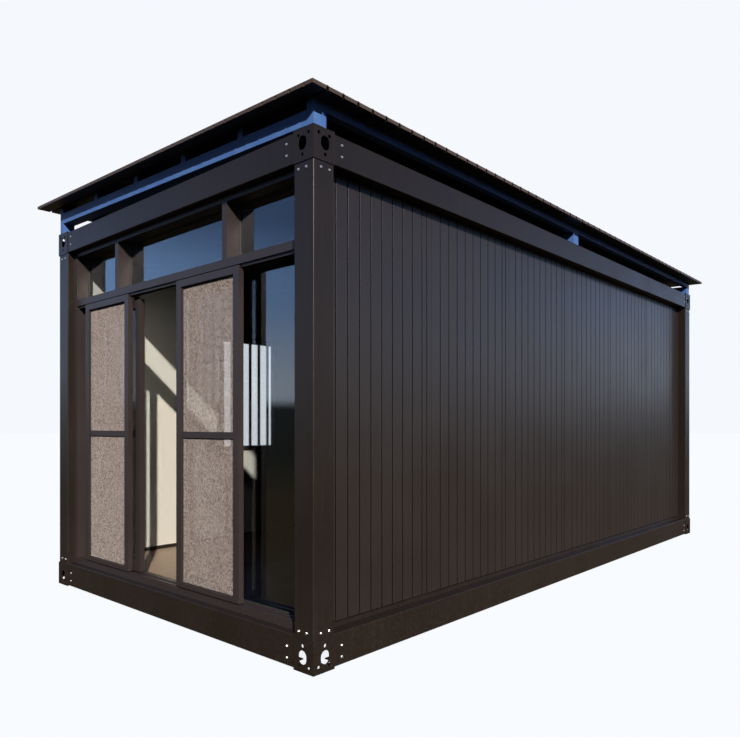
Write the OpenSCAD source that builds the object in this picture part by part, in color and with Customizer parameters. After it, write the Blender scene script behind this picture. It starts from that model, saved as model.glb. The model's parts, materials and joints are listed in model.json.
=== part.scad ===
// Container cabin: a bolted steel frame with ribbed wall panels, a glazed front with sliding
// glass doors and fly screens, and a low-pitched roof carried above it on a tube subframe.
// Millimetres. +X is right seen from the front, -Y is the glazed front, +Z is up.
// The origin is on the ground under the middle of the container frame.

/* [Container] */
// Width of the container frame over its corner fittings
container_w = 2990; // [2600:10:3600]
// Length of the container frame over its corner fittings
container_l = 6055; // [4800:5:7300]
// Height of the container frame over its corner fittings
container_h = 2800; // [2650:10:3400]

/* [Steel frame] */
// Side of a square corner fitting
fitting_size = 152; // [140:1:200]
// How far a corner fitting stands out from the posts and beams
fitting_proud = 5; // [2:1:8]
// Height of a corner fitting
fitting_h = 172; // [160:1:210]
// Plate thickness of a corner fitting
fitting_t = 6; // [4:1:10]
// Top of the base beams, where floor, walls and glazing stand
base_top = 180; // [170:1:230]
// Depth of the top beams, from the frame's top down
top_beam_h = 167; // [140:1:200]
// Steel thickness of the posts and beams
beam_t = 4; // [3:1:6]
// Width of the narrow lower flange of a base beam
lower_flange = 60; // [40:1:90]
// Radius of the outer edges of posts and beams
edge_r = 6; // [5:1:10]

/* [Walls and floor] */
// Distance from the frame's outer face back to the wall panels
wall_recess = 90; // [60:1:90]
// Thickness of a wall panel
wall_t = 50; // [40:1:50]
// Number of panels in a long wall
long_wall_panels = 6; // [4:1:8]
// Number of panels in the rear wall
rear_wall_panels = 3; // [2:1:4]
// Height of the track that the wall panels stand in
track_h = 25; // [15:1:40]
// Height of the shadow line between the track and the panels
shadow_gap = 5; // [3:1:10]
// Thickness of the floor deck
deck_t = 18; // [15:1:30]
// Depth of a floor joist
joist_h = 100; // [80:1:120]
// Number of floor joists
joist_count = 9; // [6:1:12]
// Thickness of the ceiling panel
ceiling_t = 50; // [30:1:80]

/* [Side window] */
// Clear width between the window frame's sides
window_w = 650; // [400:10:900]
// Clear height between the window frame's head and sill
window_h = 1020; // [600:10:1150]
// Height of the clear opening's lower edge
window_sill = 1060; // [900:10:1200]
// Distance of the window's centre in front of the cabin's middle
window_y = 1235; // [1000:5:1600]
// Width of the window frame's face
window_frame = 40; // [30:1:60]

/* [Glazed front] */
// Distance from the frame's outer face back to the glazing frame
glazing_recess = 60; // [40:1:70]
// Depth of the glazing frame, front to back
glazing_d = 120; // [115:1:140]
// Face width of the jambs
jamb_w = 45; // [35:1:60]
// Face width of the mullions
mullion_w = 46; // [35:1:60]
// Clear width of the doorway between the lower mullions
doorway_w = 1268; // [1100:2:1400]
// Height of the underside of the transom bar
transom_z = 2210; // [2050:5:2250]
// Depth of the transom bar
transom_h = 50; // [40:1:70]
// Depth of the head bar
head_h = 33; // [25:1:60]
// Height of the sill block
sill_h = 38; // [24:1:45]
// Thickness of the glass
glass_t = 6; // [4:1:10]

/* [Sliding doors] */
// How far a closed fly screen laps past the doorway's edge
screen_lap = 32; // [25:1:60]
// How far a closed glass leaf laps past the doorway's edge
leaf_lap = 19; // [12:1:40]
// Thickness of the screens and leaves
door_t = 35; // [30:1:38]
// Free space between the two sliding planes
track_gap = 13; // [10:1:15]
// Height of a leaf's top below the transom bar
leaf_drop = 45; // [30:1:80]
// Face width of a fly screen's stiles
screen_stile = 55; // [40:1:70]
// Face width of a leaf's stiles and rails
leaf_stile = 60; // [50:1:90]
// Height of a screen's mid rail above its bottom edge
screen_mid = 960; // [700:1:1200]
// Distance of the left screen's leading edge from its closed place
left_screen_open = 487; // [0:1:627]
// Distance of the right screen's leading edge from its closed place
right_screen_open = 131; // [0:1:627]
// Distance of the left leaf's leading edge from its closed place
left_leaf_open = 407; // [0:1:640]
// Distance of the right leaf's leading edge from its closed place
right_leaf_open = 72; // [0:1:640]

/* [Roof] */
// Fall of the roof towards the right, in degrees
roof_pitch = 1.5; // [1:0.5:4]
// Distance of the roof subframe inside the container's outer faces
roof_inset = 10; // [0:1:40]
// Height of the feet under the low ends of the rafters
foot_h = 6; // [4:1:40]
// Height of a rafter tube
rafter_h = 80; // [60:1:100]
// Width of a rafter tube
rafter_w = 90; // [60:1:120]
// Side of a square purlin tube
purlin_size = 50; // [40:1:60]
// Number of purlins
purlin_count = 6; // [4:1:8]
// Width of the posts and feet under the ends of the rafters
roof_post_w = 50; // [40:1:80]
// Roof overhang past the low right side, and past the front and rear
overhang = 100; // [60:5:200]
// Roof overhang past the high left side
overhang_high = 165; // [60:5:200]
// Thickness of the roof sheet between its standing ribs
sheet_t = 20; // [14:1:24]
// Distance from one roof rib to the next
rib_pitch = 112; // [90:1:150]

/* [Hidden] */
$fn = 48;
steel_colour = "#2c2828";
wall_colour = "#3b3a3b";
frame_colour = "#45393a";
glass_colour = "#4d6f95";
blue_colour = "#4a6ba4";

front = container_l / 2;                 // outer face of the front fittings, along -Y
side = container_w / 2;                  // outer face of the side fittings, along X
post_size = fitting_size - fitting_proud;
beam_l_x = container_w - 2 * fitting_size;
beam_l_y = container_l - 2 * fitting_size;
base_bottom = fitting_t;                 // beams clear the ground by the fittings' bottom plate
beam_top = container_h - fitting_t;
top_beam_bottom = container_h - top_beam_h;
inner_x = side - fitting_size;           // inner face of the posts, along X
inner_y = front - fitting_size;
wall_z = base_top + track_h + shadow_gap;
track_proud = 4;
track_back = 10;                         // the shadow line lies this far behind the panel face
wall_h = top_beam_bottom - wall_z;
panel_gap = 2;
groove_w = 10;
groove_d = 2;
groove_count = 10;                       // grooves divide a panel into this many strips
seam_groove = 0.952;                     // an extra groove beside each seam, as a share of a panel
slot_r = 31;                             // corner fitting's oval slot
slot_span = 12;
slot_x = 84;
slot_z = 77;
small_hole_r = 10;
hole_above = 60;                         // a small hole over the slot and two under its ends
hole_below = 42;
hole_in = 46;
hole_out = 30;
small_holes = [[slot_x, slot_z + hole_above], [slot_x - hole_in, slot_z - hole_below],
               [slot_x + hole_out, slot_z - hole_below]];
anchor_span = 50;                        // length of the bottom plate's slot between its round ends
rib_start = slot_x + slot_r + 4;         // level ribs behind the face plates, just seen in the slots
rib_reach = 40;
rib_drop = 21;
cut = 1;                                 // how far a cut runs past the face that it opens

glazing_y = -front + glazing_recess;
glazing_back = glazing_y + glazing_d;
glazing_base = base_top + sill_h;
jamb_in = inner_x - jamb_w;
mullion_x = (doorway_w + mullion_w) / 2;
glass_set_in = 100;                      // fixed glass behind the glazing frame's front
glass_y = glazing_y + glass_set_in;
rail_w = 6;                              // running rails on the sill
rail_h = 6;
wheel_r = 14;
wheel_w = 10;
wheel_seat = 0.3;
door_gap = 5.5;                          // clearance over rails, under the transom and beside fins
meeting_gap = 3;                         // each closed door stops this far from the middle
jamb_gap = 5;                            // each open door stops this far from the jamb
door_z = glazing_base + rail_h + door_gap;
screen_y = glazing_y;
leaf_y = screen_y + door_t + track_gap;
screen_top = transom_z - door_gap;
leaf_top = transom_z - leaf_drop;
screen_w = doorway_w / 2 + screen_lap - meeting_gap;
leaf_w = doorway_w / 2 + leaf_lap - meeting_gap;
screen_travel = jamb_in - jamb_gap - meeting_gap - screen_w;
leaf_travel = jamb_in - jamb_gap - meeting_gap - leaf_w;
left_screen_x = meeting_gap + min(left_screen_open, screen_travel);
right_screen_x = meeting_gap + min(right_screen_open, screen_travel);
left_leaf_x = meeting_gap + min(left_leaf_open, leaf_travel);
right_leaf_x = meeting_gap + min(right_leaf_open, leaf_travel);
fin_h = 17;                              // guide fins under the transom bar
fin_w = 6;
fork_l = 30;                             // guide forks on a leaf's top straddle its fin
fork_wall = 4.5;
screen_top_rail = 45;
screen_bottom_rail = 27.5;
mid_rail_h = 35;
mid_rail_t = 20;
mesh_t = 3;

roof_side = side - roof_inset;
roof_front = front - roof_inset;
rafter_z = container_h + foot_h;         // underside of a rafter at the low side's face
rafter_ys = [-roof_front + rafter_w / 2, 0, roof_front - rafter_w / 2];
purlin_edge = roof_side - purlin_size / 2;
seat_gap = 0.1;                          // sealing tape between the purlins and the sheet
sheet_z = rafter_z + rafter_h + purlin_size + seat_gap;
roof_back = container_w + overhang_high; // the sheet's length from the low side's frame face
roof_half_l = front + overhang;
skin_t = 4;
rib_w = 17;
seam_rib_h = 3;
trim_t = 4;
tooth_pitch = 108;
tooth_gap = 15;

function rise(x) = (side - x) * tan(roof_pitch);
function arc(cx, cy, r, from, to, n = 4) =
    [for (i = [0:n]) let (a = from + (to - from) * i / n) [cx + r * cos(a), cy + r * sin(a)]];
function rounded_square(s, r) = concat(
    arc(s - r, s - r, r, 0, 90), arc(r, s - r, r, 90, 180),
    arc(r, r, r, 180, 270), arc(s - r, r, r, 270, 360));

// A folded channel open to the inside: x runs inward from the web's outer face, y up.
function channel(h, upper, lower) = concat(
    arc(edge_r, edge_r, edge_r, 270, 180), arc(edge_r, h - edge_r, edge_r, 180, 90),
    [[upper, h], [upper, h - beam_t], [beam_t, h - beam_t], [beam_t, beam_t],
     [lower, beam_t], [lower, 0]]);

// Turns a plan drawn for the front (outside towards -Y) to one of the four sides.
module to_side(angle) {
    rotate([0, 0, angle]) translate([0, (angle % 180 == 0) ? -front : -side, 0]) children();
}

// Runs a profile (x inward, y up) along a side of the frame, set back behind the fittings.
module edge_bar(angle, z) {
    length = (angle % 180 == 0) ? beam_l_x : beam_l_y;
    to_side(angle)
        translate([0, fitting_proud, z])
            rotate([90, 0, 90])
                linear_extrude(height = length, center = true) children();
}

module base_beam(angle) {
    color(steel_colour)
        edge_bar(angle, base_bottom)
            polygon(channel(base_top - base_bottom, post_size, lower_flange));
}

module top_beam(angle) {
    color(steel_colour)
        edge_bar(angle, top_beam_bottom)
            polygon(channel(beam_top - top_beam_bottom, post_size, post_size));
}

module corner_post(sx, sy) {
    color(steel_colour)
        mirror([sx < 0 ? 1 : 0, 0, 0]) mirror([0, sy < 0 ? 1 : 0, 0])
            translate([inner_x, inner_y, fitting_h])
                linear_extrude(height = container_h - 2 * fitting_h)
                    difference() {
                        polygon(rounded_square(post_size, edge_r));
                        translate([beam_t, beam_t])
                            polygon(rounded_square(post_size - 2 * beam_t, max(edge_r - beam_t, 1)));
                    }
}

// An upright oval round the origin: a square between two half circles.
module oval(span) {
    for (end = [-span / 2, span / 2]) translate([0, end]) circle(r = slot_r);
    translate([-slot_r, -span / 2]) square([2 * slot_r, span]);
}

// Drill pattern of one face plate; x runs inward from the outer corner, y up.
module fitting_holes() {
    translate([slot_x, slot_z]) oval(slot_span);
    for (p = small_holes) translate(p) circle(r = small_hole_r);
}

module face_rib() {
    translate([rib_start, fitting_t, slot_z - rib_drop - fitting_t])
        cube([fitting_size - rib_start, rib_reach - fitting_t, fitting_t]);
}

module face_plate() {
    rotate([90, 0, 0])
        linear_extrude(height = fitting_t)
            difference() {
                square([fitting_size, fitting_h]);
                fitting_holes();
            }
}

// Base fitting with its outer corner at the origin, reaching towards +X and +Y.
module corner_fitting() {
    for (turn = [0, 90])
        rotate([0, 0, turn]) mirror([0, turn / 90, 0]) {
            translate([0, fitting_t, 0]) face_plate();
            face_rib();
        }
    linear_extrude(height = fitting_t)
        difference() {
            square(fitting_size);
            translate([slot_x, fitting_size / 2]) oval(anchor_span);
        }
    translate([0, 0, fitting_h - fitting_t]) cube([fitting_size, fitting_size, fitting_t]);
}

module four_corners() {
    for (sx = [0, 1], sy = [0, 1])
        mirror([sx, 0, 0]) mirror([0, sy, 0]) translate([-side, -front, 0]) children();
}

module base_corner_fittings() {
    color(steel_colour) four_corners() corner_fitting();
}

module top_corner_fittings() {
    color(steel_colour)
        four_corners()
            translate([0, 0, container_h]) mirror([0, 0, 1]) corner_fitting();
}

module floor_deck() {
    color("#6b5b4a")
        translate([-inner_x, -inner_y, base_top - deck_t])
            cube([2 * inner_x, 2 * inner_y, deck_t]);
}

module floor_joists() {
    joist_w = 50;
    half_span = side - fitting_proud - beam_t;
    pitch = 2 * inner_y / (joist_count + 1);
    color(steel_colour)
        for (i = [1:joist_count])
            translate([-half_span, -inner_y + i * pitch - joist_w / 2, base_top - deck_t - joist_h])
                cube([2 * half_span, joist_w, joist_h]);
}

module ceiling_panel() {
    color("#d8d0c0")
        translate([-inner_x, -inner_y, top_beam_bottom])
            cube([2 * inner_x, 2 * inner_y, ceiling_t]);
}

function groove(x) = [[x - groove_w / 2, 0], [x - groove_w / 5, groove_d],
                      [x + groove_w / 5, groove_d], [x + groove_w / 2, 0]];
function groove_xs(w) = concat([for (i = [1:groove_count - 1]) i * w / groove_count], [seam_groove * w]);
function flat(lists) = [for (l = lists) for (p = l) p];
function reversed(list) = [for (i = [len(list) - 1:-1:0]) list[i]];
function panel_plan(w) = concat(
    [[0, wall_t], [0, 0]], flat([for (x = groove_xs(w)) groove(x)]), [[w, 0], [w, wall_t]]);

// A wall of ribbed panels along X, its outer face on y = 0.
module wall_panels(length, count) {
    pitch = length / count;
    for (i = [0:count - 1])
        translate([-length / 2 + i * pitch + panel_gap / 2, 0, wall_z])
            linear_extrude(height = wall_h) polygon(panel_plan(pitch - panel_gap));
}

module on_wall(angle) {
    to_side(angle) translate([0, wall_recess, 0]) children();
}

module window_block(margin, depth, from) {
    translate([window_y - window_w / 2 - margin, from, window_sill - margin])
        cube([window_w + 2 * margin, depth, window_h + 2 * margin]);
}

module right_wall() {
    color(wall_colour) on_wall(90) wall_panels(2 * inner_y, long_wall_panels);
}

module left_wall() {
    color(wall_colour)
        on_wall(270)
            difference() {
                wall_panels(2 * inner_y, long_wall_panels);
                window_block(window_frame, wall_t + 2 * cut, -cut);
            }
}

module rear_wall() {
    color(wall_colour) on_wall(180) wall_panels(2 * inner_x, rear_wall_panels);
}

module wall_base_tracks() {
    color(steel_colour)
        for (angle = [90, 180, 270]) {
            length = (angle == 180) ? 2 * inner_x : 2 * inner_y;
            on_wall(angle)
                translate([0, 0, base_top])
                    rotate([90, 0, 90])
                        linear_extrude(height = length, center = true)
                            polygon([[-track_proud, 0], [wall_t, 0], [wall_t, track_h + shadow_gap],
                                     [track_back, track_h + shadow_gap], [track_back, track_h],
                                     [-track_proud, track_h]]);
        }
}

module side_window_frame() {
    lip = 6;                             // the frame stands this far out of both wall faces
    color(frame_colour)
        on_wall(270)
            difference() {
                window_block(window_frame, wall_t + 2 * lip, -lip);
                window_block(0, wall_t + 4 * lip, -2 * lip);
            }
}

module side_window_glass() {
    color(glass_colour, 0.4) on_wall(270) window_block(0, glass_t, wall_t / 2);
}

module glazing_sill() {
    color(frame_colour)
        union() {
            translate([-inner_x, glazing_y, base_top]) cube([2 * inner_x, glazing_d, sill_h]);
            for (y = [screen_y, leaf_y])
                translate([-jamb_in, y + (door_t - rail_w) / 2, glazing_base])
                    cube([2 * jamb_in, rail_w, rail_h]);
        }
}

module glazing_head() {
    color(frame_colour)
        translate([-inner_x, glazing_y, top_beam_bottom - head_h])
            cube([2 * inner_x, glazing_d, head_h]);
}

module glazing_jambs() {
    color(frame_colour)
        for (x = [-inner_x, jamb_in])
            translate([x, glazing_y, glazing_base])
                cube([jamb_w, glazing_d, top_beam_bottom - head_h - glazing_base]);
}

module glazing_transom() {
    color(frame_colour)
        union() {
            translate([-jamb_in, glazing_y, transom_z]) cube([2 * jamb_in, glazing_d, transom_h]);
            for (y = [screen_y, leaf_y])
                translate([-jamb_in, y + (door_t - fin_w) / 2, transom_z - fin_h])
                    cube([2 * jamb_in, fin_w, fin_h]);
        }
}

module upper_mullions() {
    z = transom_z + transom_h;
    color(frame_colour)
        for (x = [-mullion_x, mullion_x])
            translate([x - mullion_w / 2, glazing_y, z])
                cube([mullion_w, glazing_d, top_beam_bottom - head_h - z]);
}

module lower_mullions() {
    y = leaf_y + door_t + track_gap;
    color(frame_colour)
        for (x = [-mullion_x, mullion_x])
            translate([x - mullion_w / 2, y, glazing_base])
                cube([mullion_w, glazing_back - y, transom_z - glazing_base]);
}

module pane(from, to, bottom, top) {
    translate([from, glass_y, bottom]) cube([to - from, glass_t, top - bottom]);
}

module transom_glass() {
    bottom = transom_z + transom_h;
    top = top_beam_bottom - head_h;
    edge = mullion_x - mullion_w / 2;
    color(glass_colour, 0.4) {
        pane(-jamb_in, -edge - mullion_w, bottom, top);
        pane(-edge, edge, bottom, top);
        pane(edge + mullion_w, jamb_in, bottom, top);
    }
}

module fixed_glass() {
    edge = mullion_x + mullion_w / 2;
    color(glass_colour, 0.4) {
        pane(-jamb_in, -edge, glazing_base, transom_z);
        pane(edge, jamb_in, glazing_base, transom_z);
    }
}

// Wheels that carry a sliding door of width w, x from its left edge, y from its front face.
module wheels(w, stile) {
    for (x = [stile, w - stile])
        translate([x, (door_t + wheel_w) / 2, glazing_base + rail_h + wheel_seat + wheel_r])
            rotate([90, 0, 0]) cylinder(r = wheel_r, h = wheel_w);
}

// The slot in which a guide fin runs, over a door's width.
module fin_slot(w, bottom, top) {
    translate([-cut, (door_t - fin_w) / 2 - door_gap, bottom])
        cube([w + 2 * cut, fin_w + 2 * door_gap, top - bottom]);
}

module screen_frame() {
    mid = door_z + screen_mid;
    bottom = door_z + screen_bottom_rail;
    clear_w = screen_w - 2 * screen_stile;
    difference() {
        translate([0, 0, door_z]) cube([screen_w, door_t, screen_top - door_z]);
        translate([screen_stile, -cut, bottom])
            cube([clear_w, door_t + 2 * cut, screen_top - screen_top_rail - bottom]);
        fin_slot(screen_w, transom_z - fin_h - door_gap, screen_top + cut);
    }
    translate([screen_stile, (door_t - mid_rail_t) / 2, mid])
        cube([clear_w, mid_rail_t, mid_rail_h]);
    wheels(screen_w, screen_stile);
}

module screen_mesh() {
    mid = door_z + screen_mid;
    for (zone = [[door_z + screen_bottom_rail, mid], [mid + mid_rail_h, screen_top - screen_top_rail]])
        translate([screen_stile, (door_t - mesh_t) / 2, zone[0]])
            cube([screen_w - 2 * screen_stile, mesh_t, zone[1] - zone[0]]);
}

module leaf_frame() {
    fork_w = fin_w + 2 * door_gap + 2 * fork_wall;
    difference() {
        union() {
            translate([0, 0, door_z]) cube([leaf_w, door_t, leaf_top - door_z]);
            for (x = [leaf_stile, leaf_w - leaf_stile - fork_l])
                translate([x, (door_t - fork_w) / 2, leaf_top])
                    cube([fork_l, fork_w, transom_z - door_gap - leaf_top]);
        }
        translate([leaf_stile, -cut, door_z + leaf_stile])
            cube([leaf_w - 2 * leaf_stile, door_t + 2 * cut, leaf_top - door_z - 2 * leaf_stile]);
        fin_slot(leaf_w, transom_z - fin_h - door_gap, transom_z);
    }
    wheels(leaf_w, leaf_stile);
}

module leaf_pane() {
    translate([leaf_stile, (door_t - glass_t) / 2, door_z + leaf_stile])
        cube([leaf_w - 2 * leaf_stile, glass_t, leaf_top - door_z - 2 * leaf_stile]);
}

module left_screen_frame() {
    color(frame_colour) translate([-left_screen_x - screen_w, screen_y, 0]) screen_frame();
}

module right_screen_frame() {
    color(frame_colour) translate([right_screen_x, screen_y, 0]) screen_frame();
}

module left_screen_mesh() {
    color("#a89488") translate([-left_screen_x - screen_w, screen_y, 0]) screen_mesh();
}

module right_screen_mesh() {
    color("#a89488") translate([right_screen_x, screen_y, 0]) screen_mesh();
}

module left_leaf_frame() {
    color(frame_colour) translate([-left_leaf_x - leaf_w, leaf_y, 0]) leaf_frame();
}

module right_leaf_frame() {
    color(frame_colour) translate([right_leaf_x, leaf_y, 0]) leaf_frame();
}

module left_leaf_glass() {
    color(glass_colour, 0.4) translate([-left_leaf_x - leaf_w, leaf_y, 0]) leaf_pane();
}

module right_leaf_glass() {
    color(glass_colour, 0.4) translate([right_leaf_x, leaf_y, 0]) leaf_pane();
}

// Extrudes an X-Z outline along Y, centred on y.
module along_y(y, length) {
    translate([0, y + length / 2, 0]) rotate([90, 0, 0]) linear_extrude(height = length) children();
}

function seat_at(y) = (y == 0) ? beam_top : container_h;

module roof_rafters() {
    color(blue_colour)
        for (y = rafter_ys)
            along_y(y, rafter_w)
                polygon([[roof_side, rafter_z + rise(roof_side)],
                         [roof_side, rafter_z + rafter_h + rise(roof_side)],
                         [-roof_side, rafter_z + rafter_h + rise(-roof_side)],
                         [-roof_side, rafter_z + rise(-roof_side)]]);
}

// Posts under the high ends of the rafters and low feet under the other ends.
module roof_posts() {
    color(blue_colour)
        for (y = rafter_ys, x0 = [-roof_side, roof_side - roof_post_w]) {
            x1 = x0 + roof_post_w;
            along_y(y, rafter_w)
                polygon([[x0, seat_at(y)], [x1, seat_at(y)],
                         [x1, rafter_z + rise(x1)], [x0, rafter_z + rise(x0)]]);
        }
}

module roof_purlins() {
    pitch = 2 * purlin_edge / (purlin_count - 1);
    bottom = rafter_z + rafter_h;
    color(blue_colour)
        for (i = [0:purlin_count - 1]) {
            x0 = -purlin_edge + i * pitch - purlin_size / 2;
            x1 = x0 + purlin_size;
            along_y(0, 2 * roof_front)
                polygon([[x0, bottom + rise(x0)], [x1, bottom + rise(x1)],
                         [x1, bottom + purlin_size + rise(x1)], [x0, bottom + purlin_size + rise(x0)]]);
        }
}

// Places children drawn on the roof's plane: x = 0 on the low side's frame face, z = 0 on the purlins.
module on_roof() {
    translate([side, 0, sheet_z]) rotate([0, roof_pitch, 0]) children();
}

module roof_sheet() {
    half = roof_half_l - trim_t;
    count = floor((2 * half - rib_w) / rib_pitch);
    ribs = [for (i = [0:count - 1]) (i - (count - 1) / 2) * rib_pitch];
    under = flat([for (y = ribs)
        [[y - rib_w / 2, 0], [y - rib_w / 2, sheet_t - skin_t],
         [y + rib_w / 2, sheet_t - skin_t], [y + rib_w / 2, 0]]]);
    over = flat([for (y = ribs)
        [[y - rib_w / 2, sheet_t], [y - rib_w / 4, sheet_t + seam_rib_h],
         [y + rib_w / 4, sheet_t + seam_rib_h], [y + rib_w / 2, sheet_t]]]);
    color("#2a2523")
        on_roof()
            translate([-roof_back, 0, 0])
                rotate([90, 0, 90])
                    linear_extrude(height = roof_back + overhang)
                        polygon(concat([[-half, 0]], under, [[half, 0], [half, sheet_t]],
                                       reversed(over), [[-half, sheet_t]]));
}

module roof_edge_trims() {
    width = roof_back + overhang;
    count = floor(width / tooth_pitch);
    start = (width - (count - 1) * tooth_pitch) / 2;
    teeth = flat([for (i = [0:count - 1]) let (x = start + i * tooth_pitch)
        [[x - tooth_gap / 2, 0], [x - tooth_gap / 2, sheet_t - skin_t],
         [x + tooth_gap / 2, sheet_t - skin_t], [x + tooth_gap / 2, 0]]]);
    color("#6a5a52")
        on_roof()
            for (y = [-roof_half_l + trim_t / 2, roof_half_l - trim_t / 2])
                translate([-roof_back, 0, 0])
                    along_y(y, trim_t)
                        polygon(concat([[0, 0]], teeth, [[width, 0], [width, sheet_t], [0, sheet_t]]));
}

base_beam(0);  // base_front_beam
base_beam(180);  // base_rear_beam
base_beam(270);  // base_left_beam
base_beam(90);  // base_right_beam
top_beam(0);  // top_front_beam
top_beam(180);  // top_rear_beam
top_beam(270);  // top_left_beam
top_beam(90);  // top_right_beam
corner_post(-1, -1);  // front_left_post
corner_post(1, -1);  // front_right_post
corner_post(-1, 1);  // rear_left_post
corner_post(1, 1);  // rear_right_post
base_corner_fittings();
top_corner_fittings();
floor_deck();
floor_joists();
ceiling_panel();
right_wall();
left_wall();
rear_wall();
wall_base_tracks();
glazing_sill();
glazing_head();
glazing_jambs();
glazing_transom();
upper_mullions();
lower_mullions();
transom_glass();
fixed_glass();
left_screen_frame();
left_screen_mesh();
right_screen_frame();
right_screen_mesh();
left_leaf_frame();
left_leaf_glass();
right_leaf_frame();
right_leaf_glass();
side_window_frame();
side_window_glass();
roof_posts();
roof_rafters();
roof_purlins();
roof_sheet();
roof_edge_trims();
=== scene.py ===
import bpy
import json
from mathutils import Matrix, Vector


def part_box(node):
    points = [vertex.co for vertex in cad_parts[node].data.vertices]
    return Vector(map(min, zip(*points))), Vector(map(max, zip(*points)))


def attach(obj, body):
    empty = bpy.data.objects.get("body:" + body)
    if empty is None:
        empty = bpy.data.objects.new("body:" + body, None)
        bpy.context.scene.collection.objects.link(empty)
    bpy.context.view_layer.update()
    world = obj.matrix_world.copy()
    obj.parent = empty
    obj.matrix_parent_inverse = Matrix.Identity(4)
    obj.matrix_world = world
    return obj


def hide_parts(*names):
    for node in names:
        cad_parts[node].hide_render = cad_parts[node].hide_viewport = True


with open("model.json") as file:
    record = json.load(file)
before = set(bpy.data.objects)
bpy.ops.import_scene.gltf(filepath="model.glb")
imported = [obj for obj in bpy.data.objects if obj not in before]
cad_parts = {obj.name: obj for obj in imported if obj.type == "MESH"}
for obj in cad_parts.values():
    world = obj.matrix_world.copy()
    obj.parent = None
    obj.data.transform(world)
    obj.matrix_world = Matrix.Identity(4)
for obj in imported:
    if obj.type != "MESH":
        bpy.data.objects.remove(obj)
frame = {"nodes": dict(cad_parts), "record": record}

"""Finishes and fine pieces of the container cabin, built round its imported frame.

The frame gives every size and place. This script adds the finishes, the frame bolts, roof
screws, glazing beads, woven fly mesh and window bars, then the floor, lights and camera.
"""

import enum
import json
import logging
import math
from dataclasses import dataclass, field
from typing import Any, Iterable

import bmesh
import bpy
import numpy as np
from mathutils import Vector

log = logging.getLogger("cabin")

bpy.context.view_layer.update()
Colour = tuple[float, float, float, float]
Arrays = tuple[np.ndarray, np.ndarray]


class Slot(enum.Enum):
    """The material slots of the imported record."""

    FRAME_STEEL = "frame_steel"
    WALL_PANEL = "wall_panel"
    GLAZING_FRAME = "glazing_frame"
    GLASS = "glass"
    FLY_MESH = "fly_mesh"
    ROOF_STEEL = "roof_steel"
    ROOF_SHEET = "roof_sheet"
    FLOOR_BOARD = "floor_board"
    CEILING_BOARD = "ceiling_board"


class Axis(enum.IntEnum):
    """Row axes, as indices."""

    X = 0
    Y = 1
    Z = 2


def srgb(code: str) -> Colour:
    """Turns a display colour into a linear one.

    Args:
        code: Six hex digits, red first.

    Returns:
        Linear red, green and blue, with an alpha of one.
    """
    value = np.array([int(code[i:i + 2], 16) for i in (0, 2, 4)]) / 255
    linear = np.where(value > 0.04045, ((value + 0.055) / 1.055) ** 2.4, value / 12.92)
    return (*(float(c) for c in linear), 1.0)


# ---------------------------------------------------------------- node trees


class Graph:
    """Adds and links the nodes of one node tree."""

    def __init__(self, tree: bpy.types.NodeTree) -> None:
        """Keeps the tree to build in."""
        self.tree = tree

    def node(
        self, kind: str, inputs: dict[Any, Any] | None = None, **settings: Any
    ) -> bpy.types.Node:
        """Adds one node.

        Args:
            kind: The node's type name.
            inputs: What each input socket gets, a value or another node's socket.
            **settings: Attributes to set on the node.

        Returns:
            The new node.
        """
        made = self.tree.nodes.new(kind)
        for name, value in settings.items():
            setattr(made, name, value)
        for key, value in (inputs or {}).items():
            self.feed(made.inputs[key], value)
        return made

    def feed(self, socket: bpy.types.NodeSocket, value: Any) -> None:
        """Links a socket to another one, or sets its value."""
        if isinstance(value, bpy.types.NodeSocket):
            self.tree.links.new(value, socket)
        else:
            socket.default_value = value

    def math(self, operation: str, a: Any, b: Any = 0.0) -> bpy.types.NodeSocket:
        """Adds a Math node and returns its result."""
        return self.node("ShaderNodeMath", {0: a, 1: b}, operation=operation).outputs[0]

    def mix(self, share: Any, first: Any, second: Any) -> bpy.types.NodeSocket:
        """Adds a colour mix, first at a share of 0 and second at 1, and returns its colour."""
        return self.node(
            "ShaderNodeMix", {0: share, 6: first, 7: second}, data_type="RGBA"
        ).outputs[2]

    def smooth(self, value: Any, low: Any, high: Any) -> bpy.types.NodeSocket:
        """Adds a smooth step that rises from 0 at low to 1 at high, and returns it."""
        return self.node(
            "ShaderNodeMapRange", {"Value": value, "From Min": low, "From Max": high},
            interpolation_type="SMOOTHSTEP",
        ).outputs[0]

    def place(self) -> bpy.types.NodeSocket:
        """Adds Texture Coordinate and returns its Object output."""
        return self.node("ShaderNodeTexCoord").outputs["Object"]

    def noise(self, place: Any, scale: Any, detail: float = 3.0) -> bpy.types.NodeSocket:
        """Adds a noise texture and returns its value."""
        return self.node(
            "ShaderNodeTexNoise", {"Vector": place, "Scale": scale, "Detail": detail}
        ).outputs["Fac"]


class Effect:
    """A shader node group with named inputs and outputs, built once and placed in many places."""

    def __init__(
        self, name: str, inputs: dict[str, tuple[str, Any]], outputs: dict[str, str]
    ) -> None:
        """Makes the empty group.

        Args:
            name: The group's name.
            inputs: Socket type and default of each input.
            outputs: Socket type of each output.
        """
        self.tree = bpy.data.node_groups.new(name, "ShaderNodeTree")
        for key, (kind, value) in inputs.items():
            socket = self.tree.interface.new_socket(key, in_out="INPUT", socket_type=kind)
            socket.default_value = value
        for key, kind in outputs.items():
            self.tree.interface.new_socket(key, in_out="OUTPUT", socket_type=kind)
        self.graph = Graph(self.tree)
        self.given = self.graph.node("NodeGroupInput").outputs
        self.results = self.graph.node("NodeGroupOutput").inputs

    def put(self, graph: Graph, **inputs: Any) -> bpy.types.Node:
        """Places the group in a material's graph and feeds its inputs."""
        made = graph.node("ShaderNodeGroup", node_tree=self.tree)
        for key, value in inputs.items():
            graph.feed(made.inputs[key], value)
        return made


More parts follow.
